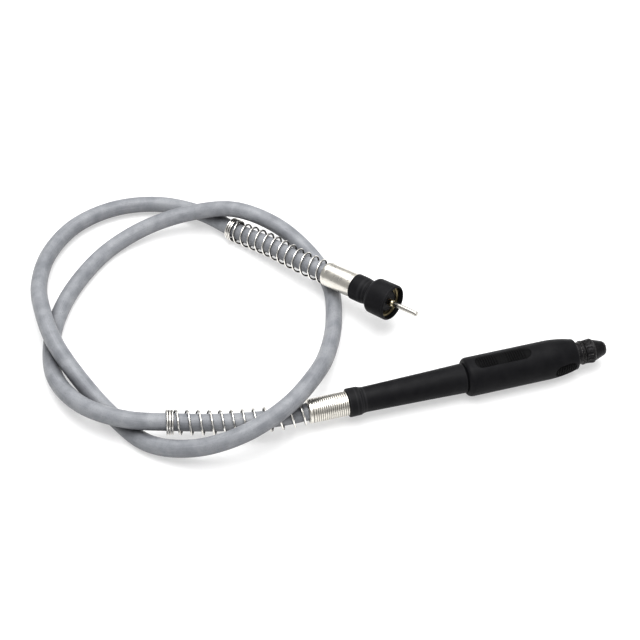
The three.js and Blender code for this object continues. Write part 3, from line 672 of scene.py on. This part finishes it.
def make_pin(ball_steps=17):
    """The drive pin, with its hub behind the bush and a brass ball in the cap's mouth."""
    ball = [(BALL_PLACE - BALL_RADIUS * math.cos(t), BALL_RADIUS * math.sin(t))
            for t in np.linspace(BALL_MEETS_PIN, math.pi - BALL_MEETS_PIN, ball_steps)]
    made = turned("drive_spindle_pin", [
        (32.5, ON_AXIS), (32.5, 1.9), (22, 1.9), (22, HUB_RADIUS, 0.2), (33, HUB_RADIUS, 0.4),
        (33.6, PIN_RADIUS, 0.2), *ball, (68.7, PIN_RADIUS, 0.2), (PIN_END, 1.05, 0.12), (PIN_END, ON_AXIS),
    ], COUPLING, "drive_pin", "polished_pin", "drive_pin", segments=64, closed=False)
    made.data.materials.append(LOOKS["brass_ball"])
    to_group = COUPLING.inverted()
    for face in made.data.polygons:
        along = (to_group @ (face.center * 1000)).x
        if abs(along - BALL_PLACE) < BALL_HALF_LENGTH:
            face.material_index = 1
    return made


pin = make_pin()

# ------------------------------------------------------------------------------------------------ handpiece

HANDPIECE_FERRULE_LENGTH = 23.5
COLLAR_RADIUS = 7.2
RINGS = 16
RING_PITCH = 1.24
RING_FLOOR = 6.86
FIRST_RING = 2.9


def ring_and_groove(at):
    """Outline points of one turned ring and the groove after it."""
    return [(at, 7.12), (at + 0.14, COLLAR_RADIUS), (at + 0.7, COLLAR_RADIUS), (at + 0.86, RING_FLOOR),
            (at + 1.08, RING_FLOOR)]


def mark_groove_shade(piece, least, most):
    """Marks a piece's points between two radii for its material's painted shade."""
    place = np.empty(len(piece.data.vertices) * 3, np.float32)
    piece.data.attributes["place"].data.foreach_get("vector", place)
    radius = np.hypot(*place.reshape(-1, 3)[:, 1:].T)
    set_level(piece.data, "panel", (radius > least) & (radius < most))


rings = [point for i in range(RINGS) for point in ring_and_groove(FIRST_RING + i * RING_PITCH)]
handpiece_ferrule = turned("handpiece_ferrule_ring_turned", [
    (0, HOSE_BORE), (0, 6.5, 0.15), (0.75, COLLAR_RADIUS, 0.15), (1.9, COLLAR_RADIUS, 0.12), (2.15, 6.95),
    (2.6, 6.95), (2.75, 7.1), *rings, (22.9, 7.18), (HANDPIECE_FERRULE_LENGTH, 7.18, 0.15),
    *ferrule_inside(HANDPIECE_FERRULE_LENGTH),
], HANDPIECE, "root", "nickel", "handpiece_ferrule")
# Painted shade on the floors of the ferrule's grooves.
mark_groove_shade(handpiece_ferrule, 6.8, 6.97)

TUBE_START = HANDPIECE_FERRULE_LENGTH + SEAT_GAP
TUBE_END = 95.0
TUBE_BORE = 3.5
TENON_END = 105
TENON_RADIUS = 7.5
TENON_BORE = 4.6

turned("handpiece_rear_tube", [
    (TUBE_START, SOCKET), (TUBE_START, 8.3, 0.55), (24.4, 8.45, 0.5), (28.4, 8.42, 0.6), (30.6, 8.35, 1.0),
    (31.9, 7.75, 1.2), (33.6, 7.46, 1.4), (50.0, 7.78), (70.0, 8.2), (94.2, 8.83, 0.3), (TUBE_END, 8.6, 0.25),
    (TUBE_END, TENON_RADIUS), (TENON_END, TENON_RADIUS), (TENON_END, TENON_BORE), (81.2, TENON_BORE),
    (81.2, TUBE_BORE), (31.8, TUBE_BORE), (31.8, SOCKET),
], HANDPIECE, "root", "black_plastic", "handpiece_tube", segments=128)

GRIP_START = 95.3
GRIP_END = 164.4
GRIP_REAR_RADIUS = 9.45
GRIP_RADIUS = 11.65
GRIP_NOSE_RADIUS = 9.3
GRIP_BORE = 7.8
GRIP_MOUTH = 5.8
BARREL_START = 98.6
BARREL_END = 145.9
NOSE_TAPER = 17.7
PANEL_WIDTH = 9.0
PANEL_DEPTH = 0.62
RIB_HEIGHT = 0.5
PANEL_HALF_ANGLE = 0.6


def grip_outline(x):
    """The grip's outer radius at a distance along it."""
    bevel = np.clip((BARREL_START - x) / 3.3, 0, 1)
    rear = GRIP_REAR_RADIUS + (GRIP_RADIUS - GRIP_REAR_RADIUS) * np.sqrt(np.clip(1 - bevel**2.4, 0, 1))
    share = np.clip((x - BARREL_END) / NOSE_TAPER, 0, 1)
    front = GRIP_NOSE_RADIUS + (GRIP_RADIUS - GRIP_NOSE_RADIUS) * (1 - share**2)
    return np.where(x < BARREL_START, rear, front)


def long_ribs(t):
    """How high the ribs of a long panel stand along it: low in the middle, none at its ends."""
    middle = 0.25 + 0.75 * (1 - smoothstep((t - 0.32) / 0.1)) + 0.75 * smoothstep((t - 0.52) / 0.08)
    return middle * (1 - smoothstep((t - 0.84) / 0.06)) * smoothstep((t - 0.04) / 0.05)


def short_ribs(t):
    """How high the ribs of a short panel stand along it: none at its ends."""
    return smoothstep((t - 0.03) / 0.06) * (1 - smoothstep((t - 0.92) / 0.06))


# Each ribbed panel's angle round the grip, start, length, rib pitch and the ribs' height along it.
PANELS = (
    (0, 100.9, 34.8, 1.45, long_ribs),
    (math.pi, 100.9, 34.8, 1.45, long_ribs),
    (math.pi / 2, 148.1, 14.4, 1.6, short_ribs),
    (-math.pi / 2, 148.1, 14.4, 1.6, short_ribs),
)


def panel_depth(x, across, start, length, pitch, ribs):
    """Depth of a ribbed oval recess at distances along and across it, and how far in it the point is."""
    half = PANEL_WIDTH / 2
    nearest = np.clip(x, start + half, start + length - half)
    inside = half - np.hypot(x - nearest, across)
    floor = smoothstep(inside / 0.5)
    rib = smoothstep(0.5 + 0.75 * np.cos(2 * math.pi * (x - start) / pitch))
    rib_place = smoothstep((inside - 0.45) / 0.4)
    depth = PANEL_DEPTH * floor - RIB_HEIGHT * rib * rib_place * ribs((x - start) / length)
    return depth, floor


def all_panels(x, around, radius):
    """Depth and level of the four panels at every point of the grip's surface."""
    depth = np.zeros_like(x)
    level = np.zeros_like(x)
    for middle, start, length, pitch, ribs in PANELS:
        offset = (around - middle + math.pi) % (2 * math.pi) - math.pi
        cut, inside = panel_depth(x, offset * radius, start, length, pitch, ribs)
        near = np.abs(offset) < PANEL_HALF_ANGLE
        depth += np.where(near, cut, 0)
        level += np.where(near, inside, 0)
    return depth, level


def make_grip():
    """The grip, with close rows and columns where its panels are."""
    x = np.concatenate([
        [GRIP_START, 95.36, 95.5, 95.75, 96.1, 96.6, 97.2, 97.9], np.arange(BARREL_START, 100.6, 0.5),
        np.arange(100.8, 135.9, 0.145), np.arange(136.6, 147.8, 0.8), np.arange(148.0, 162.7, 0.155),
        [162.9, 163.2, 163.5, 163.75, 163.9],
    ])
    quarter = np.concatenate([np.arange(-0.46, 0.461, 0.0256), np.arange(0.52, 1.09, 0.08)])
    angle = np.concatenate([quarter + k * math.pi / 2 for k in range(4)])
    xs, around = np.meshgrid(x, angle, indexing="ij")
    radius = grip_outline(xs)
    depth, panel = all_panels(xs, around, radius)
    # The "edge" level here gives the painted highlight on the grip's rounded front corner.
    edge = smoothstep((xs - 163.4) / 0.4) * 0.8
    inside = np.array([
        (164.02, 9.27, 1.0), (164.15, 9.2, 1.0), (164.28, 9.08, 1.0), (164.37, 8.92, 0.8),
        (GRIP_END, 8.7, 0.3), (GRIP_END, 6.3, 0.1), (164.3, 5.95, 0.5), (164.0, GRIP_MOUTH, 0.2),
        (158.2, GRIP_MOUTH, 0), (158.2, GRIP_BORE, 0), (95.7, GRIP_BORE, 0), (GRIP_START, 8.1, 0.2),
        (GRIP_START, 9.2, 0.3),
    ])
    rows = [round_points(xs, radius - depth, around)]
    rows += [round_points(at, ring, angle) for at, ring, _ in inside]
    levels = {
        "edge": np.concatenate([edge.ravel(), np.repeat(inside[:, 2], len(angle))]),
        "panel": np.concatenate([panel.ravel(), np.zeros(len(inside) * len(angle))]),
    }
    faces = ring_faces(len(x) + len(inside), len(angle))
    add_piece("handpiece_grip", np.vstack(rows), faces, HANDPIECE, "root", "black_plastic", "grip_housing",
              levels, crease=40)


make_grip()

# ---------------------------------------------------------------------------------------------------- chuck

HANDPIECE_LENGTH = 184.6
CHUCK_START = 165.0
CHUCK_END = 183.9
SPINDLE_SOCKET = 2.8
COLLAR_START = 168.2
CHUCK_COLLAR = 7.25
SLEEVE_SEAT = 6.2
CONE_START = 176.4
JAW_RADIUS = 0.95
JAW_LENGTH = 9.5
JAW_BORE = 1.25
JAW_SLOPE = math.radians(15)
JAW_FRONT = HANDPIECE_LENGTH - JAW_RADIUS * math.sin(JAW_SLOPE)
JAW_OFFSET = 1.3
JAWS = 3


def cut_from(piece, cutters):
    """Cuts solids out of a piece and drops them."""
    for cutter in cutters:
        change = piece.modifiers.new("cut", "BOOLEAN")
        change.operation = "DIFFERENCE"
        change.solver = "EXACT"
        change.object = cutter
    bpy.context.view_layer.update()
    shown = piece.evaluated_get(bpy.context.evaluated_depsgraph_get())
    mesh = bpy.data.meshes.new_from_object(shown)
    piece.modifiers.clear()
    piece.data = mesh
    shade(mesh)
    for cutter in cutters:
        bpy.data.objects.remove(cutter)


def rod(outline, group, segments=48):
    """A bare turned solid for cutting with."""
    points, faces = lathe(np.array(outline), segments, closed=False)
    return new_object("cutter", solid_mesh("cutter", points, faces, group))


def jaw_frame(index):
    """A frame at the front of a jaw, with its X axis forward along the jaw's slanted bore."""
    place = Matrix.Translation((JAW_FRONT, 0, JAW_OFFSET)) @ Matrix.Rotation(JAW_SLOPE, 4, "Y")
    return HANDPIECE @ Matrix.Rotation(index / JAWS * 2 * math.pi, 4, "X") @ place


chuck_body = turned("chuck_core", [
    (COLLAR_START, ON_AXIS), (COLLAR_START, SPINDLE_SOCKET), (CHUCK_START, SPINDLE_SOCKET),
    (CHUCK_START, SLEEVE_SEAT, 0.15), (165.35, 6.75, 0.3), (167.4, 6.6, 0.4), (167.9, 6.8, 0.3),
    (COLLAR_START, CHUCK_COLLAR, 0.25), (169.3, CHUCK_COLLAR, 0.25), (169.6, 6.9, 0.15), (169.6, SLEEVE_SEAT),
    (CONE_START, SLEEVE_SEAT), (CONE_START, 6.45, 0.2), (182.7, 4.3, 1.2), (CHUCK_END, 3.2, 0.6),
    (CHUCK_END, ON_AXIS),
], HANDPIECE, "spindle", "black_oxide", "chuck_body", closed=False)
shank_bore = rod([(170.9, 1.6), (183.5, 1.75), (183.7, 1.95), (185.5, 2.6)], HANDPIECE)
jaw_bores = [rod([(-15.0, JAW_BORE), (3.0, JAW_BORE)], jaw_frame(i)) for i in range(JAWS)]
cut_from(chuck_body, [*jaw_bores, shank_bore])

FLUTES = 14
FLUTE_START = 171.3
FLUTE_END = 173.2
FLUTE_RADIUS = 1.05
FLUTE_DEPTH = 0.5
SLEEVE_OUTLINE = np.array([
    (169.9, 6.55), (169.95, 6.75), (170.05, 6.9), (170.25, 7.0), (170.6, 7.05), (172.0, 7.1), (174.7, 7.38),
    (175.1, 7.4), (175.3, 7.34), (175.9, 6.8), (176.02, 6.7), (176.1, 6.5),
])


def make_sleeve(flute_sides=24):
    """The turned sleeve with its finger flutes."""
    segments = FLUTES * flute_sides
    x = np.concatenate([SLEEVE_OUTLINE[:4, 0], np.arange(170.4, 175.0, 0.12), [175.1, 175.3, 175.5, 175.7],
                        SLEEVE_OUTLINE[-3:, 0]])
    angle = full_turn(segments)
    xs, around = np.meshgrid(x, angle, indexing="ij")
    radius = np.interp(xs, *SLEEVE_OUTLINE.T)
    offset = (around * FLUTES / (2 * math.pi) + 0.5) % 1 - 0.5
    across = offset * 2 * math.pi * radius / FLUTES
    reach = np.hypot(xs - np.clip(xs, FLUTE_START, FLUTE_END), across)
    hollow = FLUTE_DEPTH * np.sqrt(np.clip(1 - (reach / FLUTE_RADIUS) ** 2, 0, 1))
    flute_rim = np.exp(-((reach - FLUTE_RADIUS) / 0.16) ** 2) * 0.8
    front_edge = np.exp(-((xs - 175.1) / 0.25) ** 2) * (reach > FLUTE_RADIUS)
    inside = (176.05, 169.95)
    rows = [round_points(xs, radius - hollow, around)]
    rows += [round_points(at, 6.5, angle) for at in inside]
    worn = np.clip(flute_rim + front_edge, 0, 1).ravel()
    levels = {"edge": np.concatenate([worn, np.zeros(len(inside) * segments)])}
    faces = ring_faces(len(x) + len(inside), segments)
    add_piece("chuck_grip_sleeve", np.vstack(rows), faces, HANDPIECE, "chuck_sleeve", "black_oxide",
              "chuck_sleeve", levels, crease=45)


make_sleeve()
for i in range(JAWS):
    turned(f"chuck_jaw_{i + 1}", [
        (0, ON_AXIS), (0, 0.62, 0.1), (-0.42, JAW_RADIUS, 0.1), (0.3 - JAW_LENGTH, JAW_RADIUS, 0.1),
        (-JAW_LENGTH, 0.65, 0.1), (-JAW_LENGTH, ON_AXIS),
    ], jaw_frame(i), f"jaw_{i + 1}", "jaw_steel", f"jaw_{i + 1}", segments=40, steps=3, closed=False)

# ----------------------------------------------------------------------------------------------- kept nodes

steel = turned_metal("inner_steel", *METALS["machined_steel"], kept_node=True)
races = turned_metal("race_steel", *METALS["bearing_steel"], kept_node=True)
for name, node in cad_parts.items():
    if not node.hide_render:
        node.data.materials.clear()
        node.data.materials.append(races if "bearing" in name else steel)

# ------------------------------------------------------------------------------------------ floor and light

FLOOR_REACH = 6
LAMP_TARGET = (-0.07, 0.07, 0)
# Each square lamp's name, place, width in metres and power in watts.
LAMPS = (
    ("overhead", (-0.08, 0.0, 1.25), 1.0, 19),
    ("back", (0.0, 0.6, 1.0), 1.3, 9),
    ("front", (0.1, -0.9, 1.2), 1.0, 2.5),
)

corners = [(x * FLOOR_REACH, y * FLOOR_REACH, 0) for x, y in ((-1, -1), (1, -1), (1, 1), (-1, 1))]
floor_mesh = bpy.data.meshes.new("floor")
floor_mesh.from_pydata(corners, [], [(0, 1, 2, 3)])
paper = Surface("paper", Base_Color=(0.5, 0.5, 0.5, 1), Roughness=0.9, Specular_IOR_Level=0.1,
                Emission_Color=(1, 1, 1, 1), Emission_Strength=0.5)
floor_mesh.materials.append(paper.material)
floor = new_object("floor", floor_mesh)

world = bpy.data.worlds.new("studio")
world.use_nodes = True
background = world.node_tree.nodes["Background"]
background.inputs["Color"].default_value = (1, 1, 1, 1)
background.inputs["Strength"].default_value = 0.4
scene.world = world
scene.view_settings.view_transform = "Standard"
scene.view_settings.gamma = 0.9

for name, place, width, power in LAMPS:
    lamp = bpy.data.lights.new(name, "AREA")
    lamp.shape = "SQUARE"
    lamp.size = width
    lamp.energy = power
    aim(new_object(name, lamp), place, LAMP_TARGET)
